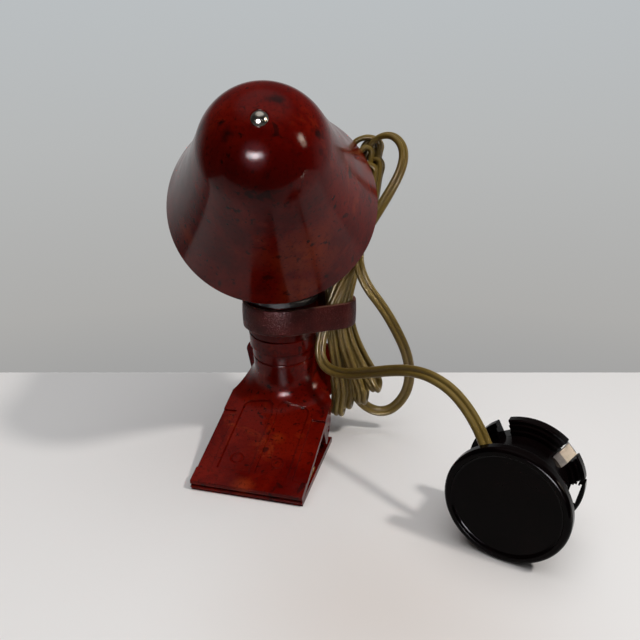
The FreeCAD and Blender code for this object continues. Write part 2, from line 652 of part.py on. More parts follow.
def round_path(points):
    """Straight runs joined by tangent arcs, each as large as its two runs allow."""
    points = [Vector(*point) for point in points]
    edges = []
    radii = []
    last = points[0]
    for before, corner, after in zip(points, points[1:], points[2:]):
        back = before - corner
        forward = after - corner
        setback = 0.45 * min(back.Length, forward.Length)
        turn = math.pi - back.getAngle(forward)
        radii.append(setback / math.tan(turn / 2))
        back.normalize()
        forward.normalize()
        enter = corner + back * setback
        leave = corner + forward * setback
        inward = (back + forward).normalize()
        middle = corner + inward * (radii[-1] / math.cos(turn / 2) - radii[-1])
        edges.append(Part.LineSegment(last, enter).toShape())
        edges.append(Part.Arc(enter, middle, leave).toShape())
        last = leave
    edges.append(Part.LineSegment(last, points[-1]).toShape())
    return Part.Wire(edges), radii


def cord_tube(label, route):
    path, radii = round_path(route)
    radius = value("cord_diameter / 2")
    begin = Vector(*route[0])
    heading = Vector(*route[1]) - begin
    section = Part.Wire(Part.makeCircle(radius, begin, heading))
    tube = path.makePipeShell([section], True, False)
    expected = math.pi * radius ** 2 * path.Length
    print("%s: length %.1f, volume / (section x length) %.4f, radii %s" % (
        label, path.Length, tube.Volume / expected, ", ".join("%.0f" % r for r in radii)))
    node(shaped(label + "_tube", tube), label)


def hank():
    wires = []
    for x, y, z, half_x, half_y in HANK_SECTIONS:
        centre = Vector(x, y, z)
        if half_x >= half_y:
            ellipse = Part.Ellipse(centre + Vector(half_x, 0, 0), centre + Vector(0, half_y, 0), centre)
        else:
            ellipse = Part.Ellipse(centre + Vector(0, half_y, 0), centre - Vector(half_x, 0, 0), centre)
        wires.append(Part.Wire(ellipse.toShape()))
    node(shaped("hank_shape", Part.makeLoft(wires, True, False)), "cord_hank")


# ---------------------------------------------------------------- plug

def plug_placement():
    """Frame of the plug, which lies on its two rims: +Z from its grip face towards the pins."""
    lean = math.degrees(math.asin((value("plug_radius") - value("flange_radius")) / value("plug_depth")))
    rotation = Rotation(Vector(0, 0, 1), -value("plug_turn")).multiply(
        Rotation(Vector(1, 0, 0), -90 - lean))
    level = value("plug_radius") * math.cos(math.radians(lean)) + 0.02
    return Placement(Vector(value("plug_x"), value("plug_y"), level), rotation)


# Cuts in the plug's flange: angle, width, and how far from the axis each starts and ends.
FLANGE_CUTS = [
    (119, 5, "waist_radius", 30), (299, 5, "waist_radius", 30), (44, 6, "waist_radius", 30),
    (224, 6, "waist_radius", 30), (10, 1.6, "flange_radius - 2.6", 30), (-9, 11, "waist_radius", 19.6),
]
EARTH_ANGLES = {"plug_earth_clip_upper": 44, "plug_earth_clip_lower": 224}


def about_axis(angle):
    """Turn about the plug's axis, anticlockwise seen from the grip."""
    return Rotation(Vector(0, 0, 1), -angle)


def plug_grip():
    cap = turned("grip", [
        ("0", "0.9"), ("18.6", "0.9"), ("19.6", "0", "-2"), ("plug_radius - 1.2", "0"),
        ("plug_radius", "1.4", "1.6"), ("plug_radius", "plug_cap - 2"), ("plug_radius - 1.4", "plug_cap"),
        ("0", "plug_cap")])
    cap.Placement = plug_placement()
    node(cap, "plug_grip")


def prong_centre(side):
    turn = about_axis(value("prong_line"))
    return turn.multVec(Vector(side * value("prong_half"), 0, 0))


def plug_body():
    step = "flange_start + %d * flange_step"
    core = turned("plug_core", [
        ("0", "plug_cap"), ("waist_radius", "plug_cap"), ("waist_radius", "flange_start"),
        ("18", "flange_start"), ("18", step % 1), ("19.8", step % 1), ("19.8", step % 2),
        ("flange_radius - 0.5", step % 2), ("flange_radius", step % 2 + " + 0.5"),
        ("flange_radius", "plug_depth - 0.8"), ("flange_radius - 0.8", "plug_depth", "0.8"),
        ("14.6", "plug_depth"), ("14.6", "plug_depth - 5"), ("0", "plug_depth - 5")])
    cutters = []
    for number, (angle, width, near, far) in enumerate(FLANGE_CUTS):
        cutter = doc.addObject("Part::Box", "flange_cut%d" % number)
        bind(cutter, Length="%s - (%s)" % (far, near), Width=str(width), Height="plug_depth")
        corner = about_axis(angle).multVec(Vector(value(near), -width / 2, 0))
        cutter.Placement = Placement(corner + Vector(0, 0, value("flange_start") - 1), about_axis(angle))
        cutters.append(cutter)
    for side in (-1, 1):
        seat = cylinder("prong_seat%d" % (side + 1), "prong_radius", "20",
                        x="%d * prong_half * cos(prong_line)" % side,
                        y="%d * prong_half * sin(prong_line)" % -side, z="plug_depth - 12")
        cutters.append(seat)
    cutters.append(cylinder("screw_seat", "1.75", "12", z="plug_depth - 10"))
    body = combine("Cut", "plug_body_cut", core, *cutters)
    body.Placement = plug_placement()
    node(body, "plug_body")


def plug_contacts():
    """The two round pins and the two sprung earth clips in the flange's notches."""
    for side, label in ((-1, "plug_pin_left"), (1, "plug_pin_right")):
        prong = turned("prong%d" % (side + 1), [
            ("0", "plug_depth - 12"), ("prong_radius", "plug_depth - 12"),
            ("prong_radius", "plug_depth + 12.5"), ("0", "plug_depth + 14.9", "prong_radius")])
        prong.Placement = plug_placement().multiply(Placement(prong_centre(side), Rotation()))
        node(prong, label)
    for label, angle in EARTH_ANGLES.items():
        strip = padded(label + "_strip", "XZ_Plane", [
            ("waist_radius - 0.3", "plug_depth - 9"), ("18.2", "plug_depth - 7"),
            ("20.9", "plug_depth - 2.4"), ("19.4", "plug_depth + 1.6"), ("18.6", "plug_depth + 1.2"),
            ("19.9", "plug_depth - 2.4"), ("17.4", "plug_depth - 6.2"),
            ("waist_radius - 0.3", "plug_depth - 8")], "4.6")
        strip.Placement = plug_placement().multiply(Placement(Vector(), about_axis(angle)))
        node(strip, label)


def plug_screw():
    screw = turned("plug_screw_turn", [
        ("0", "plug_depth - 10"), ("1.75", "plug_depth - 10"), ("1.75", "plug_depth - 5"),
        ("3.3", "plug_depth - 5"), ("3.3", "plug_depth - 4"),
        ("0", "plug_depth - 3", dome_arc(3.3, 1))])
    screw.Placement = plug_placement()
    node(screw, "plug_screw")


# ---------------------------------------------------------------- build, check and write

def build_all():
    front_jaw()
    rear_jaw()
    hinge_pin()
    spring()
    spring_leg()
    jaw_linings()
    lampholder()
    bulb()
    bulb_clip()
    clip_rivets()
    stirrup()
    shade()
    strap()
    cord_bush()
    cord_tube("cord_tail", TAIL_ROUTE)
    hank()
    cord_tube("cord_loop", LOOP_ROUTE)
    cord_tube("cord_lead", LEAD_ROUTE)
    plug_grip()
    plug_body()
    plug_contacts()
    plug_screw()


def check_all():
    doc.recompute()
    for thing in doc.Objects:
        if {"Invalid", "Error"} & set(thing.State):
            raise RuntimeError("%s failed: %s" % (thing.Name, thing.State))
    for piece in nodes:
        shape = piece.Shape
        if shape.isNull() or not shape.isValid() or shape.Volume <= 0:
            raise RuntimeError("%s has no sound shape" % piece.Label)
        if len(shape.Solids) != 1:
            raise RuntimeError("%s is %d solids" % (piece.Label, len(shape.Solids)))
        print("%-24s volume %9.1f" % (piece.Label, shape.Volume))


build_all()
check_all()
os.makedirs("parts", exist_ok=True)
for piece in nodes:
    piece.Shape.exportStep("parts/%s.step" % piece.Label)
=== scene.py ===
import json
import math

import bpy
import numpy as np
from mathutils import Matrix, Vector, noise


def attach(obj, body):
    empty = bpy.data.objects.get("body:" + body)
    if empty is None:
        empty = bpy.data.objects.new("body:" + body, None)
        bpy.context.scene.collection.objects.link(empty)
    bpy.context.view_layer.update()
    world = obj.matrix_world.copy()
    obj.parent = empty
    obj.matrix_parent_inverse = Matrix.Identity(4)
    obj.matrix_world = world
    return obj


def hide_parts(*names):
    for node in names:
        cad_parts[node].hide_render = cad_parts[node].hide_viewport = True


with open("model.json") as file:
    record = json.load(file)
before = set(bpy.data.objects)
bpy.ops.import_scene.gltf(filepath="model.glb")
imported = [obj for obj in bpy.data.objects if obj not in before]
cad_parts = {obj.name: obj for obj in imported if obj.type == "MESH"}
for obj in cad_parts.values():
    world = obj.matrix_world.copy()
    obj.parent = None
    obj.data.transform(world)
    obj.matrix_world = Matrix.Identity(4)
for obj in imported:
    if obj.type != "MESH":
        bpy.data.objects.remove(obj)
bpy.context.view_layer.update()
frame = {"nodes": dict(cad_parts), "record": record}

SCENE = bpy.context.scene

# ---------------------------------------------------------------- sizes and places, in metres
# The room: the camera, and a white table whose far edge runs square to the view.
VIEW_YAW = math.radians(14.26)
VIEW_DOWN = math.radians(20.57)
CAMERA_PLACE = (0.0830, -0.2035, 0.1590)
LENS = 36.0
SENSOR_WIDTH = 36.0
CLIP_START = 0.005
TABLE_FAR = 0.339
TABLE_NEAR = 0.112
TABLE_LEFT = -0.33
TABLE_RIGHT = 0.42
TABLE_THICK = 0.018
TABLE_EDGE = 0.0025
# A painted reflection: a soft brown dimness on the table in front of the lamp, in the table's own axes.
PAINTED_REFLECTION_PLACE = (0.0216, 0.155, 0.0)
PAINTED_REFLECTION_RADIUS = 0.085
PAINTED_REFLECTION_AMOUNT = 0.38

# The flex: two round cores side by side, with a groove between them.
CORE_RADIUS = 0.00125
CORE_OFFSET = 0.00115
CORE_STEPS = 13
SPLINE_STEPS = 12
UP = (0.0, 0.0, 1.0)
TO_CAMERA = (0.2, -0.85, 0.45)

# The flex's route, stretch by stretch: the tail from the lamp, the way into the hank, the loop
# beside the hank, the way back into it, and the lead to the plug.
TAIL_ROUTE = [
    (0.0000, 0.0760, 0.0510), (0.0000, 0.0820, 0.0512), (0.0023, 0.0882, 0.0515),
    (0.0072, 0.0926, 0.0519), (0.0136, 0.0940, 0.0522), (0.0199, 0.0920, 0.0524),
    (0.0244, 0.0871, 0.0525), (0.0263, 0.0808, 0.0526),
]
# Each of these is a place and the way the flat side faces there.
ENTRY_ROUTE = [
    ((0.0261, 0.0742, 0.0528), (0.0, 0.6, 0.8)), ((0.0248, 0.0700, 0.0500), (0.0, 0.5, 0.3)),
    ((0.0240, 0.0640, 0.0440), (0.3, -0.8, 0.2)),
]
LOOP_ROUTE = [
    (0.0304, 0.0876, 0.1266), (0.0326, 0.0876, 0.1328), (0.0370, 0.0868, 0.1360),
    (0.0422, 0.0852, 0.1364), (0.0464, 0.0830, 0.1336), (0.0484, 0.0810, 0.1286),
    (0.0474, 0.0792, 0.1220), (0.0436, 0.0772, 0.1138), (0.0384, 0.0734, 0.1044),
    (0.0334, 0.0668, 0.0954), (0.0322, 0.0604, 0.0866), (0.0368, 0.0572, 0.0764),
    (0.0452, 0.0588, 0.0654), (0.0510, 0.0610, 0.0546), (0.0556, 0.0630, 0.0438),
    (0.0574, 0.0650, 0.0336), (0.0566, 0.0666, 0.0240), (0.0532, 0.0678, 0.0162),
    (0.0482, 0.0683, 0.0106), (0.0420, 0.0680, 0.0094), (0.0362, 0.0668, 0.0126),
    (0.0322, 0.0652, 0.0184), (0.0302, 0.0638, 0.0250),
]
RETURN_ROUTE = [(0.0292, 0.0622, 0.0330), (0.0276, 0.0610, 0.0450)]
LEAD_ROUTE = [
    (0.0205, 0.0545, 0.0590), (0.0186, 0.0525, 0.0515), (0.0180, 0.0510, 0.0437),
    (0.0220, 0.0485, 0.0382), (0.0315, 0.0450, 0.0385), (0.0430, 0.0400, 0.0430),
    (0.0535, 0.0345, 0.0478), (0.0615, 0.0290, 0.0510), (0.0690, 0.0240, 0.0520),
    (0.0770, 0.0180, 0.0506), (0.0832, 0.0120, 0.0472), (0.0880, 0.0068, 0.0426),
    (0.0912, 0.0030, 0.0378), (0.0932, 0.0006, 0.0346),
]
# The loop faces the front, and turns between these heights to face out from this middle, with
# this much of the front left in it.
LOOP_TURNS_OVER = (0.095, 0.120)
LOOP_CENTRE = (0.0400, 0.0840, 0.1270)
LOOP_LEAN = 0.5

# The hank's middle line and its half sizes across X and Y, from its foot to its head.
HANK_SECTIONS = [
    (0.0270, 0.0620, 0.0090, 0.0060, 0.0070), (0.0296, 0.0624, 0.0240, 0.0086, 0.0080),
    (0.0254, 0.0622, 0.0450, 0.0072, 0.0078), (0.0228, 0.0625, 0.0620, 0.0067, 0.0072),
    (0.0250, 0.0670, 0.0800, 0.0070, 0.0072), (0.0292, 0.0780, 0.1070, 0.0080, 0.0070),
    (0.0310, 0.0874, 0.1326, 0.0075, 0.0065),
]
# The heights between which the hank turns a quarter, and between which its foot fans out.
HANK_TWIST = (0.060, 0.110)
HANK_FAN = (0.052, 0.017)
# One row per turn of the hank: the strand's column across the hank, the depth of its front and
# back strands there, the heights of its folds, and how far its foot fans out past the strap.
HANK_TURNS = [
    # column, front, back, foot, head, fan
    (-0.62, -0.30, 0.78, 0.0115, 0.1225, 0.0000),
    (-0.30, -0.74, 0.30, 0.0125, 0.1290, 0.0000),
    (0.02, -0.34, 0.80, 0.0150, 0.1330, 0.0006),
    (0.34, -0.72, 0.26, 0.0200, 0.1310, 0.0050),
    (0.62, -0.36, 0.70, 0.0255, 0.1262, 0.0090),
]
# The column and depth of the last two strands, by which the flex comes back up from the loop and
# goes down again to the lead, with the heights that they start from and fold over at.
LAST_RISE = (0.30, -0.30)
LAST_FALL = (0.05, -0.95)
LAST_RISE_FOOT = 0.050
LAST_FALL_FOOT = 0.064
LAST_HEAD = 0.124
# The heights of the strands' control points, which keep clear of the folds, and of the first one's.
STRAND_HEIGHTS = [0.024, 0.038, 0.050, 0.063, 0.078, 0.094, 0.110]
FOLD_CLEAR = 0.006
FIRST_FALL = [0.032, 0.022]
# A fold's shoulders are this far below its corners, which stand out from the hank a little.
FOLD_DEPTH = 0.0050
FOLD_BULGE = 0.0006

# The strap's foot, top and thickness, and the middle and radius of the two arcs that it goes
# round: the neck and the hank.
STRAP_BASE = 0.0558
STRAP_TOP = 0.0676
STRAP_WIDTH = STRAP_TOP - STRAP_BASE
STRAP_THICK = 0.0018
STRAP_ROUND = [((0.0, 0.056), 0.0166), ((0.0226, 0.0625), 0.0076)]
STRAP_ROUNDING = 0.0006
# How many steps there are: along the strap, round each arc, and up its outer and inner faces.
STRAP_STEPS = 220
ARC_STEPS = 60
OUTER_STEPS = 9
INNER_STEPS = 5
# Its unevenness, as bumps per metre and their height: the frayed foot, the rest, and a long wave.
STRAP_FRAYED = (900, 0.00025)
STRAP_WORN = (500, 0.00008)
STRAP_WAVE = (60, 0.0005)
# How much its outer face draws in at its top and foot.
STRAP_CROWN = 0.00025

# Dark blotches and warm patches in the moulding: the middle and the radius of each.
DARK_BLOTCHES = [
    ((0.0154, 0.0062, 0.1532), 0.0050), ((0.0019, -0.0037, 0.1430), 0.0034),
    ((-0.0016, -0.0012, 0.1462), 0.0020), ((0.0280, 0.0103, 0.1422), 0.0034),
    ((0.0335, 0.0370, 0.1265), 0.0036), ((0.0307, 0.0247, 0.1158), 0.0016),
    ((0.0329, 0.0315, 0.1158), 0.0014), ((0.0348, 0.0401, 0.1081), 0.0015),
    ((0.0142, 0.0108, 0.1071), 0.0015), ((0.0226, 0.0221, 0.1013), 0.0016),
    ((-0.0098, 0.0232, 0.0836), 0.0014), ((0.0060, 0.0215, 0.0125), 0.0022),
]
WARM_PATCHES = [
    ((0.0207, 0.0232, 0.0974), 0.0200), ((-0.0291, 0.0237, 0.1034), 0.0085),
    ((0.0152, 0.0309, 0.0803), 0.0130), ((0.0050, 0.0270, 0.0145), 0.0045),
    ((-0.0010, 0.0010, 0.0060), 0.0060),
]

# How far a texture moves the edge of one, in radii.
RAGGEDNESS = 2.4

# The room, as colours by the height of the unit direction: behind the lamp, in front of it, and
# as the camera sees them.
BACK_WALL = [
    (-1.0, (0.45, 0.44, 0.43)), (-0.05, (0.45, 0.45, 0.45)), (0.15, (0.47, 0.48, 0.48)),
    (0.38, (0.08, 0.08, 0.08)), (0.80, (0.08, 0.08, 0.08)), (0.92, (0.55, 0.54, 0.54)),
]
FRONT_WALL = [
    (-1.0, (0.10, 0.10, 0.10)), (0.0, (0.030, 0.028, 0.027)), (0.80, (0.030, 0.028, 0.027)),
    (0.92, (0.55, 0.54, 0.54)),
]
SEEN_WALL = [
    (-0.45, (0.335, 0.335, 0.335)), (-0.318, (0.418, 0.413, 0.402)),
    (-0.09, (0.470, 0.480, 0.480)), (0.15, (0.497, 0.527, 0.545)),
]
# The direction behind the lamp, as azimuth and elevation, and the angles from it between which
# the two halves of the room meet, in degrees.
BEHIND = (0, 10)
HALVES_MEET = (60, 88)
# Small bright windows, seen only in the reflections: azimuth, elevation, full and faded radius
# in degrees, and colour.
WINDOWS = [
    (169, 5, 3, 7, (42, 42, 44)), (177, 4, 3, 7, (80, 80, 84)), (185, 5, 3, 7, (42, 42, 44)),
    (178, 5, 6, 26, (1.6, 1.4, 1.7)), (95, 24, 2.5, 6, (34, 30, 25)), (93, 17, 2, 6, (16, 13, 10)),
]
# The lights: azimuth, elevation, distance, width, power and colour.
LIGHT_TARGET = (0.03, 0.03, 0.05)
LIGHTS = {
    "key": (103, 51, 1.3, 0.12, 7.0, (1.0, 0.96, 0.92)),
    "ceiling": (150, 82, 1.5, 2.2, 17.0, (0.98, 0.99, 1.0)),
}


# ---------------------------------------------------------------- materials
class Graph:
    """A node tree while it is built, with one method for each kind of node."""

    def __init__(self, tree):
        self.nodes = tree.nodes
        self.links = tree.links

    def plug(self, socket, value):
        """Sets a socket to a number, a vector, a colour or another node's output."""
        if isinstance(value, bpy.types.NodeSocket):
            self.links.new(value, socket)
        elif socket.type == "RGBA":
            socket.default_value = (*value, 1.0)
        else:
            socket.default_value = value

    def span(self, value, low, high, start=0.0, end=1.0, curve="SMOOTHSTEP"):
        """Moves the range low to high onto start to end, and clamps it there."""
        node = self.nodes.new("ShaderNodeMapRange")
        node.interpolation_type = curve
        for socket, number in zip(node.inputs[:5], (value, low, high, start, end)):
            self.plug(socket, number)
        return node.outputs["Result"]

    def math(self, operation, first, second):
        """A number that two others give."""
        node = self.nodes.new("ShaderNodeMath")
        node.operation = operation
        self.plug(node.inputs[0], first)
        self.plug(node.inputs[1], second)
        return node.outputs["Value"]

    def vector_math(self, operation, first, second):
        """A number that two vectors give, such as their distance or dot product."""
        node = self.nodes.new("ShaderNodeVectorMath")
        node.operation = operation
        self.plug(node.inputs[0], first)
        self.plug(node.inputs[1], second)
        return node.outputs["Value"]

    def mix(self, factor, first, second, kind="MIX"):
        """The first colour at factor 0 and the second at 1, or the two added up."""
        node = self.nodes.new("ShaderNodeMix")
        node.data_type = "RGBA"
        node.blend_type = kind
        self.plug(node.inputs["Factor"], factor)
        colours = [socket for socket in node.inputs if socket.type == "RGBA"]
        self.plug(colours[0], first)
        self.plug(colours[1], second)
        return next(socket for socket in node.outputs if socket.type == "RGBA")

    def ramp(self, value, low, high, stops):
        """The stops' colours, by a value that goes from low to high."""
        node = self.nodes.new("ShaderNodeValToRGB")
        self.plug(node.inputs["Fac"], self.span(value, low, high, curve="LINEAR"))
        marks = node.color_ramp.elements
        while len(marks) < len(stops):
            marks.new(1.0)
        for mark, (at, colour) in zip(marks, stops):
            mark.position = (at - low) / (high - low)
            mark.color = (*colour, 1.0)
        return node.outputs["Color"]


class Paint(Graph):
    """A material while it is built: one Principled shader and the textures behind it."""

    def __init__(self, name, **sockets):
        self.material = bpy.data.materials.new(name)
        self.material.use_nodes = True
        super().__init__(self.material.node_tree)
        self.shader = self.nodes["Principled BSDF"]
        for socket, value in sockets.items():
            self.set(socket.replace("_", " "), value)
        self.place = self.nodes.new("ShaderNodeTexCoord").outputs["Object"]

    def set(self, socket, value):
        """Sets one of the shader's own sockets."""
        self.plug(self.shader.inputs[socket], value)

    def stretched(self, scale, turn=(0, 0, 0)):
        """The object's own coordinates, turned by degrees and stretched."""
        node = self.nodes.new("ShaderNodeMapping")
        self.plug(node.inputs["Vector"], self.place)
        node.inputs["Scale"].default_value = scale
        node.inputs["Rotation"].default_value = [math.radians(angle) for angle in turn]
        return node.outputs["Vector"]

    def noise(self, scale, detail=4.0, roughness=0.5, distortion=0.0, place=None):
        """A texture of soft clouds, from about 0 to 1, with that many of them in a metre."""
        node = self.nodes.new("ShaderNodeTexNoise")
        self.plug(node.inputs["Vector"], place or self.place)
        node.inputs["Scale"].default_value = scale
        node.inputs["Detail"].default_value = detail
        node.inputs["Roughness"].default_value = roughness
        node.inputs["Distortion"].default_value = distortion
        return node.outputs["Fac"]

    def cells(self, scale):
        """How far each place is from the middle of its cell, in a texture of pebbles."""
        node = self.nodes.new("ShaderNodeTexVoronoi")
        self.plug(node.inputs["Vector"], self.place)
        node.inputs["Scale"].default_value = scale
        return node.outputs["Distance"]

    def spots(self, blotches, ragged):
        """1 at the middle of any of these balls, down to 0 about a radius away.

        The texture, about a half on average, moves a ball's edge in and out.
        """
        whole = 0.0
        for centre, radius in blotches:
            moved = RAGGEDNESS * radius
            away = self.vector_math("DISTANCE", self.place, centre)
            away = self.math("ADD", away, self.math("MULTIPLY", ragged, moved))
            inside = self.span(away, moved / 2, moved / 2 + radius, 1.0, 0.0)
            whole = self.math("MAXIMUM", inside, whole)
        return whole

    def round_edges(self, radius):
        """Lets light catch the moulding's edges as if they were rounded by that radius."""
        node = self.nodes.new("ShaderNodeBevel")
        node.samples = 4
        node.inputs["Radius"].default_value = radius
        self.set("Normal", node.outputs["Normal"])

    def bump(self, height, depth, strength):
        """Adds relief of that depth in metres, on top of what is there already."""
        node = self.nodes.new("ShaderNodeBump")
        node.inputs["Strength"].default_value = strength
        node.inputs["Distance"].default_value = depth
        self.plug(node.inputs["Height"], height)
        normal = self.shader.inputs["Normal"]
        if normal.links:
            self.plug(node.inputs["Normal"], normal.links[0].from_socket)
        self.plug(normal, node.outputs["Normal"])


def mottled_bakelite():
    """Red-brown moulding in clouds, with warm streaks, dark grain, blotches and flecks."""
    deep_red, clear_red = (0.078, 0.0014, 0.0005), (0.142, 0.0050, 0.0013)
    orange = (0.270, 0.034, 0.006)
    grain_brown = (0.022, 0.0018, 0.0010)
    blotch_black, fleck_black = (0.010, 0.0020, 0.0018), (0.012, 0.0020, 0.0015)
    paint = Paint("mottled_bakelite", Specular_IOR_Level=0.20, IOR=1.34)
    paint.round_edges(0.0006)

    clouds = paint.noise(38, detail=5, roughness=0.6, distortion=0.6)
    colour = paint.mix(paint.span(clouds, 0.38, 0.66), deep_red, clear_red)

    curl = paint.stretched((1, 1, 0.45), (20, 30, 0))
    streaks = paint.noise(60, detail=6, roughness=0.65, distortion=1.4, place=curl)
    warm = paint.math("MULTIPLY", paint.span(streaks, 0.54, 0.70), paint.span(clouds, 0.44, 0.62))
    warm = paint.math("MULTIPLY", warm, 0.45)
    patchy = paint.noise(110, detail=5, roughness=0.6)
    patches = paint.spots(WARM_PATCHES, patchy)
    patches = paint.math("MULTIPLY", patches, paint.span(patchy, 0.30, 0.62, 0.25, 0.75))
    colour = paint.mix(paint.math("MAXIMUM", warm, patches), colour, orange)

    grain = paint.noise(800, detail=3, roughness=0.7)
    colour = paint.mix(paint.span(grain, 0.52, 0.66, 0.0, 0.45), colour, grain_brown)

    blots = paint.noise(150, detail=2, roughness=0.4, distortion=0.5)
    blots = paint.span(blots, 0.675, 0.73, 0.0, 0.8)
    blots = paint.math("MAXIMUM", blots, paint.spots(DARK_BLOTCHES, paint.noise(260, detail=3)))
    colour = paint.mix(paint.math("MULTIPLY", blots, 0.85), colour, blotch_black)

    flecks = paint.noise(430, detail=2, roughness=0.5, distortion=0.3)
    crowded = paint.span(paint.noise(30, detail=2), 0.40, 0.60, 0.45, 1.0)
    flecks = paint.math("MULTIPLY", paint.span(flecks, 0.63, 0.69, 0.0, 0.85), crowded)
    paint.set("Base Color", paint.mix(flecks, colour, fleck_black))

    haze = paint.noise(70, detail=3)
    paint.set("Roughness", paint.span(haze, 0.35, 0.70, 0.12, 0.22))
    paint.bump(paint.noise(260, detail=2), 0.00006, 0.5)
    scratches = paint.noise(240, detail=2, place=paint.stretched((1, 9, 1), (12, 0, 38)))
    paint.bump(paint.span(scratches, 0.70, 0.74), 0.00002, 0.5)
    return paint.material


def black_bakelite():
    """The plug's glossy black moulding."""
    black, brown_black = (0.0014, 0.0007, 0.0008), (0.0032, 0.0014, 0.0014)
    paint = Paint("black_bakelite", Specular_IOR_Level=0.11, IOR=1.34)
    paint.round_edges(0.0003)
    tint = paint.span(paint.noise(60, detail=4), 0.35, 0.7)
    paint.set("Base Color", paint.mix(tint, black, brown_black))
    paint.set("Roughness", paint.span(paint.noise(180, detail=4), 0.3, 0.7, 0.08, 0.18))
    paint.bump(paint.noise(320, detail=2), 0.00005, 0.4)
    return paint.material


def holder_black():
    """The duller black of the lampholder."""
    black, brown_black = (0.006, 0.005, 0.005), (0.016, 0.012, 0.011)
    paint = Paint("holder_black", Specular_IOR_Level=0.4)
    paint.set("Base Color", paint.mix(paint.noise(120), black, brown_black))
    paint.set("Roughness", paint.span(paint.noise(400), 0.3, 0.7, 0.35, 0.55))
    paint.bump(paint.noise(1500, detail=3), 0.00004, 0.5)
    return paint.material


def metal(name, bright, dull, smooth, rough):
    """Bare metal with fine lines across Z and duller patches."""
    paint = Paint(name, Metallic=1.0)
    patches = paint.noise(220, detail=5, roughness=0.6)
    paint.set("Base Color", paint.mix(paint.span(patches, 0.45, 0.75), bright, dull))
    lines = paint.noise(2200, detail=3, place=paint.stretched((1, 1, 6)))
    wear = paint.math("ADD", paint.math("MULTIPLY", patches, 0.6), paint.math("MULTIPLY", lines, 0.4))
    paint.set("Roughness", paint.span(wear, 0.35, 0.7, smooth, rough))
    paint.bump(lines, 0.00002, 0.4)
    return paint.material


def red_glass():
    """The bulb's red glass, its colour a little uneven."""
    thick_film, thin_film = (0.16, 0.004, 0.002), (0.30, 0.010, 0.004)
    paint = Paint("red_glass", Roughness=0.08, IOR=1.45, Coat_Weight=0.4, Coat_Roughness=0.03)
    film = paint.noise(120, detail=4, place=paint.stretched((1, 1, 0.5)))
    paint.set("Base Color", paint.mix(paint.span(film, 0.3, 0.7), thick_film, thin_film))
    paint.bump(paint.noise(350, detail=2), 0.00004, 0.4)
    return paint.material


def cork():
    """Grains of cork with dark pits between them."""
    grain_tan, grain_brown, pit_brown = (0.42, 0.26, 0.12), (0.22, 0.12, 0.05), (0.07, 0.035, 0.015)
    paint = Paint("cork", Roughness=0.85, Specular_IOR_Level=0.2)
    grains = paint.cells(900)
    colour = paint.mix(paint.span(grains, 0.1, 0.7), grain_tan, grain_brown)
    pits = paint.span(paint.noise(700, detail=2), 0.62, 0.70)
    paint.set("Base Color", paint.mix(pits, colour, pit_brown))
    paint.bump(grains, 0.0003, 0.6)
    paint.bump(pits, -0.0003, 0.6)
    return paint.material


def leather():
    """Dark red leather, pebbled and creased, with pale scuffs."""
    deep_dye, worn_dye = (0.036, 0.0040, 0.0035), (0.064, 0.0085, 0.0072)
    crease_dark, scuff_pale = (0.012, 0.0035, 0.0035), (0.20, 0.075, 0.060)
    paint = Paint("leather", Specular_IOR_Level=0.14)
    pebbles = paint.cells(1300)
    creases = paint.noise(520, detail=5, roughness=0.6, distortion=0.5)
    colour = paint.mix(paint.span(paint.noise(90, detail=4), 0.35, 0.68), deep_dye, worn_dye)
    colour = paint.mix(paint.span(creases, 0.56, 0.74, 0.0, 0.6), colour, crease_dark)
    scuffs = paint.noise(1600, detail=3, roughness=0.7)
    paint.set("Base Color", paint.mix(paint.span(scuffs, 0.58, 0.70, 0.0, 0.40), colour, scuff_pale))
    paint.set("Roughness", paint.span(creases, 0.3, 0.7, 0.34, 0.52))
    paint.bump(pebbles, 0.00018, 0.7)
    paint.bump(creases, 0.00022, 0.6)
    return paint.material


def raw_leather():
    """The strap's cut edges, where the leather's fibres show."""
    dark_fibre, pale_fibre = (0.05, 0.014, 0.010), (0.22, 0.10, 0.07)
    paint = Paint("raw_leather", Roughness=0.9, Specular_IOR_Level=0.2)
    fibres = paint.noise(1400, detail=5, roughness=0.7)
    paint.set("Base Color", paint.mix(fibres, dark_fibre, pale_fibre))
    paint.bump(fibres, 0.0003, 0.8)
    return paint.material


def flex():
    """The flex's yellowed plastic, with grime on it."""
    deep_tan, pale_tan, grime_brown = (0.120, 0.076, 0.014), (0.190, 0.130, 0.032), (0.060, 0.040, 0.012)
    paint = Paint("flex", Specular_IOR_Level=0.30)
    tone = paint.noise(45, detail=4, roughness=0.6)
    colour = paint.mix(paint.span(tone, 0.3, 0.7), deep_tan, pale_tan)
    grime = paint.noise(400, detail=4, roughness=0.7)
    paint.set("Base Color", paint.mix(paint.span(grime, 0.55, 0.8, 0.0, 0.45), colour, grime_brown))
    paint.set("Roughness", paint.span(grime, 0.3, 0.75, 0.28, 0.42))
    paint.bump(paint.noise(700, detail=3), 0.00008, 0.5)
    return paint.material


def rubber_black():
    """The matt black rubber of the flex's bush."""
    black, grey_black = (0.010, 0.009, 0.009), (0.024, 0.021, 0.020)
    paint = Paint("rubber_black", Roughness=0.6, Specular_IOR_Level=0.35)
    paint.set("Base Color", paint.mix(paint.noise(200), black, grey_black))
    paint.bump(paint.noise(1400, detail=4), 0.00008, 0.6)
    return paint.material


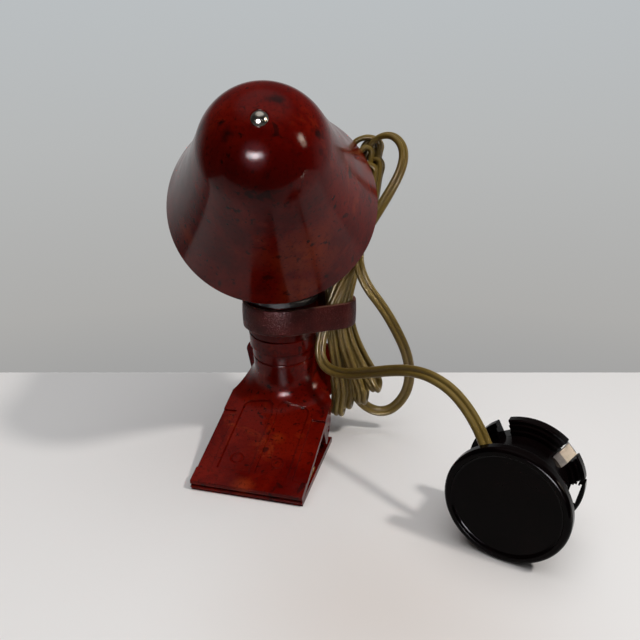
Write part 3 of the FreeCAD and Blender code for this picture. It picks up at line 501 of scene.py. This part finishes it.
MATERIALS = {
    "mottled_bakelite": mottled_bakelite(),
    "black_bakelite": black_bakelite(),
    "holder_black": holder_black(),
    # The metals have a bright and a dull colour, and the roughness of each.
    "steel": metal("steel", (0.52, 0.52, 0.53), (0.28, 0.27, 0.26), 0.22, 0.45),
    "nickel": metal("nickel", (0.72, 0.68, 0.60), (0.50, 0.46, 0.38), 0.10, 0.26),
    "dull_nickel": metal("dull_nickel", (0.26, 0.24, 0.22), (0.14, 0.13, 0.12), 0.35, 0.55),
    "brass": metal("brass", (0.68, 0.48, 0.20), (0.34, 0.22, 0.09), 0.18, 0.40),
    "red_glass": red_glass(),
    "cork": cork(),
    "leather": leather(),
    "raw_leather": raw_leather(),
    "flex": flex(),
    "rubber_black": rubber_black(),
}


def dress_cad_nodes():
    """Gives every CAD node the material of its slot; the plug's earth clip is duller than that."""
    for row in frame["record"]["subparts"]:
        node = frame["nodes"][row["node"]]
        node.data.materials.clear()
        dull = row["node"].startswith("plug_earth_clip")
        node.data.materials.append(MATERIALS["dull_nickel" if dull else row["material_slot"]])


# ---------------------------------------------------------------- meshes
def add_mesh(name, points, faces, material, smooth=True):
    """A new piece in the scene, with that material on all its faces."""
    mesh = bpy.data.meshes.new(name)
    mesh.from_pydata([tuple(point) for point in points], [], faces)
    mesh.update()
    mesh.materials.append(material)
    if smooth:
        mesh.polygons.foreach_set("use_smooth", [True] * len(mesh.polygons))
    piece = bpy.data.objects.new(name, mesh)
    SCENE.collection.objects.link(piece)
    return piece


def ease(value, start, end):
    """0 at the start and before it, 1 at the end and past it, and smooth between."""
    part = min(max((value - start) / (end - start), 0.0), 1.0)
    return part * part * (3 - 2 * part)


# ---------------------------------------------------------------- the flex
def spline_line(route):
    """The points along the smooth line that has this route as its control points."""
    curve = bpy.data.curves.new("route", "CURVE")
    curve.dimensions = "3D"
    curve.resolution_u = SPLINE_STEPS
    spline = curve.splines.new("NURBS")
    spline.points.add(len(route) - 1)
    for point, place in zip(spline.points, route):
        point.co = (*place, 1.0)
    spline.order_u = 3
    spline.use_endpoint_u = True
    carrier = bpy.data.objects.new("route", curve)
    mesh = bpy.data.meshes.new_from_object(carrier)
    line = np.array([vertex.co for vertex in mesh.vertices])
    bpy.data.objects.remove(carrier)
    bpy.data.meshes.remove(mesh)
    return line


def along(vectors, steps):
    """Spreads vectors, one for each control point, over that many points of the spline's line."""
    last = len(vectors) - 2.0
    control = np.arange(len(vectors)) - 0.5
    control[0] = 0.0
    control[-1] = last
    at = np.linspace(0.0, last, steps)
    vectors = np.array(vectors, float)
    return np.stack([np.interp(at, control, vectors[:, axis]) for axis in range(3)], axis=1)


def core_profile():
    """The flex's outline, as (across its width, out of its flat) pairs."""
    groove = math.acos(CORE_OFFSET / CORE_RADIUS)
    turn = 2 * math.pi - 2 * groove
    outline = []
    for side in (1, -1):
        for step in range(1, CORE_STEPS):
            angle = -math.pi + groove + turn * step / (CORE_STEPS - 1)
            across = CORE_OFFSET + CORE_RADIUS * math.cos(angle)
            outline.append((side * across, side * CORE_RADIUS * math.sin(angle)))
    return outline


def hank_section(height):
    """The hank's middle and half sizes at a height."""
    rows = np.array(HANK_SECTIONS)
    return [np.interp(height, rows[:, 2], rows[:, column]) for column in (0, 1, 3, 4)]


def hank_place(column, depth, height, fan):
    """Where a strand lies in the hank, and the way its flat side faces there."""
    middle_x, middle_y, half_x, half_y = hank_section(height)
    turned = ease(height, *HANK_TWIST) * math.pi / 2
    across = column * math.cos(turned) - depth * math.sin(turned)
    back = column * math.sin(turned) + depth * math.cos(turned)
    spread = fan * ease(height, *HANK_FAN)
    place = (middle_x + across * half_x + spread, middle_y + back * half_y, height)
    side = math.copysign(1.0, depth)
    facing = (-side * math.sin(turned), side * math.cos(turned), 0.0)
    return place, facing


def strand(column, depth, foot, head, fan, rising):
    """A straight strand's control points, without its folds."""
    heights = [h for h in STRAND_HEIGHTS if foot + FOLD_CLEAR < h < head - FOLD_CLEAR]
    rows = [hank_place(column, depth, height, fan) for height in heights]
    return rows if rising else rows[::-1]


def fold(start, end, height, fan, at_head):
    """The control points of a fold between two strands, at the hank's head or foot."""
    sign = 1 if at_head else -1
    over = np.array((0.0, 0.0, float(sign)))
    shoulders = []
    corners = []
    for column, depth in (start, end):
        shoulder, facing = hank_place(column, depth, height - sign * FOLD_DEPTH, fan)
        shoulders.append((shoulder, facing))
        corner, _ = hank_place(column, depth, height, fan)
        corner = np.add(corner, np.multiply(facing, FOLD_BULGE))
        corners.append((tuple(corner), tuple(np.add(facing, over))))
    crown = (np.add(corners[0][0], corners[1][0]) + over * FOLD_DEPTH) / 2
    return [shoulders[0], corners[0], (tuple(crown), tuple(over)), corners[1], shoulders[1]]


def hank_turns():
    """The hank's turns: each comes over from the one before, falls in front and rises behind."""
    rows = []
    for column, front, back, foot, head, fan in HANK_TURNS:
        if rows:
            rows += fold(behind, (column, front), last_head, 0.0, at_head=True)
            rows += strand(column, front, foot, last_head, fan, rising=False)
        else:
            rows += [hank_place(column, front, height, fan) for height in FIRST_FALL]
        rows += fold((column, front), (column, back), foot, fan, at_head=False)
        rows += strand(column, back, foot, head, fan, rising=True)
        behind = (column, back)
        last_head = head
    return rows


def loop_facing(place):
    """The flex lies nearly edge on round the loop's top, and flat to the front below it."""
    outward = Vector(place) - Vector(LOOP_CENTRE)
    edge_on = outward.normalized() + LOOP_LEAN * Vector(TO_CAMERA)
    return tuple(Vector(TO_CAMERA).lerp(edge_on, ease(place[2], *LOOP_TURNS_OVER)))


def flex_route():
    """Every control point of the flex with the way its flat side faces there."""
    rows = [(place, UP) for place in TAIL_ROUTE]
    rows += ENTRY_ROUTE
    rows += hank_turns()
    rows += [(place, loop_facing(place)) for place in LOOP_ROUTE]
    rows += [(place, TO_CAMERA) for place in RETURN_ROUTE]
    rows += strand(*LAST_RISE, LAST_RISE_FOOT, LAST_HEAD, 0.0, rising=True)
    rows += fold(LAST_RISE, LAST_FALL, LAST_HEAD, 0.0, at_head=True)
    rows += strand(*LAST_FALL, LAST_FALL_FOOT, LAST_HEAD, 0.0, rising=False)
    rows += [(place, TO_CAMERA) for place in LEAD_ROUTE]
    return rows


def sweep(name, line, facings, outline, material):
    """A closed tube of that outline along a line."""
    tangents = np.gradient(line, axis=0)
    tangents /= np.linalg.norm(tangents, axis=1)[:, None]
    normals = facings - tangents * np.sum(facings * tangents, axis=1)[:, None]
    normals /= np.linalg.norm(normals, axis=1)[:, None]
    sides = np.cross(tangents, normals)
    points = []
    for place, side, normal in zip(line, sides, normals):
        points += [place + side * across + normal * out for across, out in outline]
    ring = len(outline)
    faces = []
    for row in range(len(line) - 1):
        for step in range(ring):
            here = row * ring + step
            beside = row * ring + (step + 1) % ring
            faces.append((here, beside, beside + ring, here + ring))
    faces.append(tuple(range(ring))[::-1])
    faces.append(tuple(range(len(points) - ring, len(points))))
    return add_mesh(name, points, faces, material)


def make_flex():
    """The flex, from the lamp through its hank and loop to the plug."""
    rows = flex_route()
    line = spline_line([place for place, _ in rows])
    facings = along([facing for _, facing in rows], len(line))
    piece = sweep("flex", line, facings, core_profile(), MATERIALS["flex"])
    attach(piece, "lamp")
    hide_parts("cord_tail", "cord_hank", "cord_loop", "cord_lead")


# ---------------------------------------------------------------- the strap
def strap_outline():
    """The strap's line round the neck and the hank, and its outward direction at each point."""
    (left, left_radius), (right, right_radius) = STRAP_ROUND
    left, right = Vector(left), Vector(right)
    way = right - left
    turn = math.atan2(way.y, way.x)
    lean = math.acos((left_radius - right_radius) / way.length)
    places = []
    outs = []
    for centre, radius, start, end in (
        (right, right_radius, turn - lean, turn + lean),
        (left, left_radius, turn + lean, turn + 2 * math.pi - lean),
    ):
        for angle in np.linspace(start, end, ARC_STEPS):
            out = Vector((math.cos(angle), math.sin(angle)))
            places.append(tuple(centre + out * (radius + STRAP_THICK / 2)))
            outs.append(tuple(out))
    return np.array(places), np.array(outs)


def evenly(places, outs):
    """The same closed line and directions, at even steps along it."""
    places = np.vstack([places, places[:1]])
    outs = np.vstack([outs, outs[:1]])
    gone = np.concatenate([[0.0], np.cumsum(np.linalg.norm(np.diff(places, axis=0), axis=1))])
    wanted = np.linspace(0, gone[-1], STRAP_STEPS, endpoint=False)
    places = np.stack([np.interp(wanted, gone, places[:, axis]) for axis in (0, 1)], axis=1)
    outs = np.stack([np.interp(wanted, gone, outs[:, axis]) for axis in (0, 1)], axis=1)
    return places, outs / np.linalg.norm(outs, axis=1)[:, None]


def rounded_edge(first_side, at_top):
    """The points round the strap's top or foot; side 1 is the outer face and -1 the inner one."""
    points = []
    for side, steps in ((first_side, (1, 2)), (-first_side, (2, 1))):
        for step in steps:
            angle = step * math.pi / 6
            across = side * (STRAP_THICK / 2 - STRAP_ROUNDING * (1 - math.cos(angle)))
            up = STRAP_ROUNDING * (1 - math.sin(angle))
            points.append((across, STRAP_WIDTH - up if at_top else up))
    return points


def strap_profile():
    """The strap's section as (outward, upward) points, and which of its faces are cut edges."""
    low, high = STRAP_ROUNDING, STRAP_WIDTH - STRAP_ROUNDING
    outer = [(STRAP_THICK / 2, up) for up in np.linspace(low, high, OUTER_STEPS)]
    inner = [(-STRAP_THICK / 2, up) for up in np.linspace(high, low, INNER_STEPS)]
    top = rounded_edge(1, at_top=True)
    foot = rounded_edge(-1, at_top=False)
    top_cut = len(outer)
    foot_cut = top_cut + len(top) + len(inner) - 1
    cut = [*range(top_cut, top_cut + len(top)), *range(foot_cut, foot_cut + len(foot))]
    return outer + top + inner + foot, cut


def uneven(place, bumps_per_metre, height):
    """Gentle bumps of that height."""
    return noise.noise(Vector(place) * bumps_per_metre) * height


def make_strap():
    """The leather strap, worn and wavy, with its cut edges bare."""
    places, outs = evenly(*strap_outline())
    profile, cut = strap_profile()
    points = []
    for place, out in zip(places, outs):
        wave = uneven((*place, 0.0), *STRAP_WAVE)
        for across, up in profile:
            if across > 0:
                across -= STRAP_CROWN * ((up / STRAP_WIDTH - 0.5) * 2) ** 2
            ragged = uneven((*place, up), *(STRAP_FRAYED if up < STRAP_WIDTH / 4 else STRAP_WORN))
            points.append((*(place + out * across), STRAP_BASE + up + ragged + wave))
    ring = len(profile)
    faces = []
    for row in range(STRAP_STEPS):
        here = row * ring
        after = (row + 1) % STRAP_STEPS * ring
        for step in range(ring):
            beside = (step + 1) % ring
            faces.append((here + step, after + step, after + beside, here + beside))
    piece = add_mesh("leather_strap", points, faces, MATERIALS["leather"])
    piece.data.materials.append(MATERIALS["raw_leather"])
    for face in piece.data.polygons:
        if face.index % ring in cut:
            face.material_index = 1
    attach(piece, "lamp")
    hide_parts("strap")


# ---------------------------------------------------------------- table, room, lights and camera
def make_camera():
    """A camera in front of the lamp and to its right, as high as its top, looking down."""
    data = bpy.data.cameras.new("camera")
    data.lens = LENS
    data.sensor_width = SENSOR_WIDTH
    data.clip_start = CLIP_START
    camera = bpy.data.objects.new("camera", data)
    camera.location = CAMERA_PLACE
    camera.rotation_euler = (math.pi / 2 - VIEW_DOWN, 0.0, VIEW_YAW)
    SCENE.collection.objects.link(camera)
    SCENE.camera = camera


def table_lacquer():
    """White lacquer, with a painted reflection that makes it a little dimmer and browner in front of the
    lamp.
    """
    shaded_white, lit_white = (0.80, 0.785, 0.775), (0.84, 0.83, 0.825)
    reflection_brown = (0.50, 0.41, 0.35)
    paint = Paint("table_lacquer", Specular_IOR_Level=0.5, IOR=1.5)
    colour = paint.mix(paint.noise(3, detail=2), shaded_white, lit_white)
    # Painted reflection: the lacquer is mixed towards brown round this place in front of the lamp.
    away = paint.vector_math("DISTANCE", paint.place, PAINTED_REFLECTION_PLACE)
    painted_reflection = paint.span(away, 0.0, PAINTED_REFLECTION_RADIUS, PAINTED_REFLECTION_AMOUNT, 0.0)
    paint.set("Base Color", paint.mix(painted_reflection, colour, reflection_brown))
    paint.set("Roughness", paint.span(paint.noise(12, detail=3), 0.3, 0.7, 0.05, 0.09))
    return paint.material


def make_table():
    """The table top, square to the view, with a small round on its edges."""
    across = (TABLE_LEFT, TABLE_RIGHT)
    along_view = (TABLE_NEAR, TABLE_FAR)
    corners = [(x, y, z) for z in (-TABLE_THICK, 0.0) for y in along_view for x in across]
    faces = [(0, 2, 3, 1), (4, 5, 7, 6), (0, 1, 5, 4), (2, 6, 7, 3), (0, 4, 6, 2), (1, 3, 7, 5)]
    table = add_mesh("table", corners, faces, table_lacquer(), smooth=False)
    table.location = (CAMERA_PLACE[0], CAMERA_PLACE[1], 0.0)
    table.rotation_euler = (0.0, 0.0, VIEW_YAW)
    edge = table.modifiers.new("edge", "BEVEL")
    edge.width = TABLE_EDGE
    edge.segments = 4


def direction(azimuth, elevation):
    """The unit vector at that bearing from +Y towards +X, and that height above the horizon."""
    azimuth = math.radians(azimuth)
    elevation = math.radians(elevation)
    return Vector((
        math.sin(azimuth) * math.cos(elevation),
        math.cos(azimuth) * math.cos(elevation),
        math.sin(elevation),
    ))


def make_room():
    """A plain room, pale behind the lamp and dark in front, with a pale ceiling and windows."""
    world = bpy.data.worlds.new("room")
    world.use_nodes = True
    SCENE.world = world
    graph = Graph(world.node_tree)
    place = graph.nodes.new("ShaderNodeTexCoord").outputs["Generated"]
    paths = graph.nodes.new("ShaderNodeLightPath").outputs
    split = graph.nodes.new("ShaderNodeSeparateXYZ")
    graph.plug(split.inputs[0], place)
    height = split.outputs["Z"]

    def facing(azimuth, elevation, near, far):
        """1 within `near` degrees of a direction, 0 beyond `far` degrees."""
        towards = graph.vector_math("DOT_PRODUCT", place, direction(azimuth, elevation))
        return graph.span(towards, math.cos(math.radians(far)), math.cos(math.radians(near)))

    back = graph.ramp(height, -1.0, 1.0, BACK_WALL)
    front = graph.ramp(height, -1.0, 1.0, FRONT_WALL)
    room = graph.mix(facing(*BEHIND, *HALVES_MEET), front, back)
    for azimuth, elevation, near, far, colour in WINDOWS:
        window = graph.mix(facing(azimuth, elevation, near, far), (0, 0, 0), colour)
        lit = graph.mix(1.0, room, window, "ADD")
        room = graph.mix(paths["Is Glossy Ray"], room, lit)
    seen = graph.ramp(height, SEEN_WALL[0][0], SEEN_WALL[-1][0], SEEN_WALL)
    background = graph.nodes["Background"]
    graph.plug(background.inputs["Color"], graph.mix(paths["Is Camera Ray"], room, seen))


def make_lights():
    """Round lights that no surface reflects, because the windows are what it reflects."""
    for name, (azimuth, elevation, distance, width, power, colour) in LIGHTS.items():
        data = bpy.data.lights.new(name, "AREA")
        data.shape = "DISK"
        data.size = width
        data.energy = power
        data.color = colour
        light = bpy.data.objects.new(name, data)
        way = direction(azimuth, elevation)
        light.location = Vector(LIGHT_TARGET) + way * distance
        light.rotation_euler = way.to_track_quat("Z", "Y").to_euler()
        light.visible_glossy = False
        SCENE.collection.objects.link(light)


dress_cad_nodes()
make_flex()
make_strap()
make_camera()
make_table()
make_room()
make_lights()
SCENE.view_settings.view_transform = "Standard"
